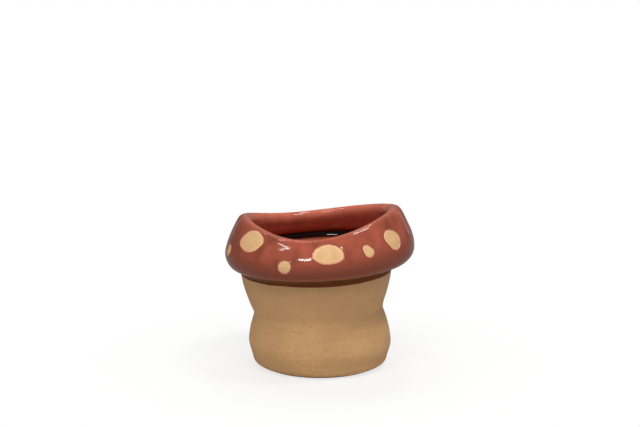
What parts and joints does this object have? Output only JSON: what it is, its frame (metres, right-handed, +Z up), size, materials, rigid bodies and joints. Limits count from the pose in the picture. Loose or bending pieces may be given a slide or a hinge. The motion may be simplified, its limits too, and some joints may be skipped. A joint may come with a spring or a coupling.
{
  "type": "toadstool flower pot",
  "caption": "Small round table planter shaped like a toadstool: a bare waisted clay stalk under a glossy red glazed cap with pale spots, open at the top.",
  "frame": {"origin": "middle of the pot's outline on the table, under the cap's middle", "axes": "+Z up, -Y to the front as in the picture, +X to the right"},
  "size_m": [0.1505, 0.1508, 0.1289],
  "materials": {
    "stalk_clay": "bare sand-coloured stoneware, matt and finely grained",
    "cap_clay": "the same stoneware, covered by glaze",
    "joining_slip": "dried joining slip, matt",
    "cap_glaze": "glossy brick-red glaze, a little mottled",
    "lining_glaze": "glossy brick-red glaze, browner than outside",
    "neck_glaze": "dark brown glaze, glossy",
    "spot_slip": "pale buff slip, dull, with fine pits"
  },
  "bodies": {
    "root": {"stalk_wall": "stalk_clay", "floor_slab": "stalk_clay", "floor_coil": "stalk_clay", "cap_shell": "cap_clay", "neck_slip": "joining_slip", "floor_slip": "joining_slip", "cap_glaze": "cap_glaze", "lining_glaze": "lining_glaze", "neck_glaze": "neck_glaze", "spot_front_large": "spot_slip", "spot_front_small": "spot_slip", "spot_left_large": "spot_slip", "spot_left_edge": "spot_slip", "spot_right_pair": "spot_slip", "spot_right_oval": "spot_slip", "spot_right_edge": "spot_slip", "spot_back_right_large": "spot_slip", "spot_back_right_small": "spot_slip", "spot_back_large": "spot_slip", "spot_back_left_small": "spot_slip", "spot_back_left_oval": "spot_slip", "spot_left_small": "spot_slip"}
  },
  "joints": []
}
